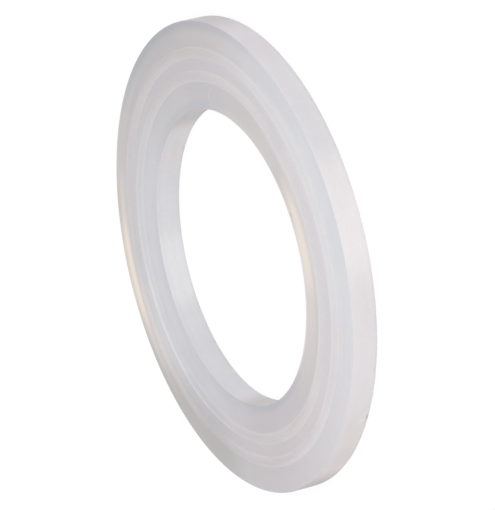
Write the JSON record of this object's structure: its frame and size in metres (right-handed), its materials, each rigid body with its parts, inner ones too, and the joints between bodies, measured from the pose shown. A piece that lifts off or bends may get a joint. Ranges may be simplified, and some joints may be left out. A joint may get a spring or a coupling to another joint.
{
  "type": "plastic sealing washer",
  "caption": "Flat translucent plastic sealing washer with a plain back and two concentric raised sealing ribs on its front face, for a pipe union.",
  "frame": {"origin": "on the bore's axis at the plain back face, which the washer lies on", "axes": "+Z along the bore's axis, from the back face to the ribbed front face; X and Y are alike, because the washer is round"},
  "size_m": [0.043, 0.043, 0.0028],
  "materials": {
    "milky_plastic": "natural translucent polyethylene, satin from the mould"
  },
  "bodies": {
    "root": {"sealing_washer": "milky_plastic"}
  },
  "joints": []
}
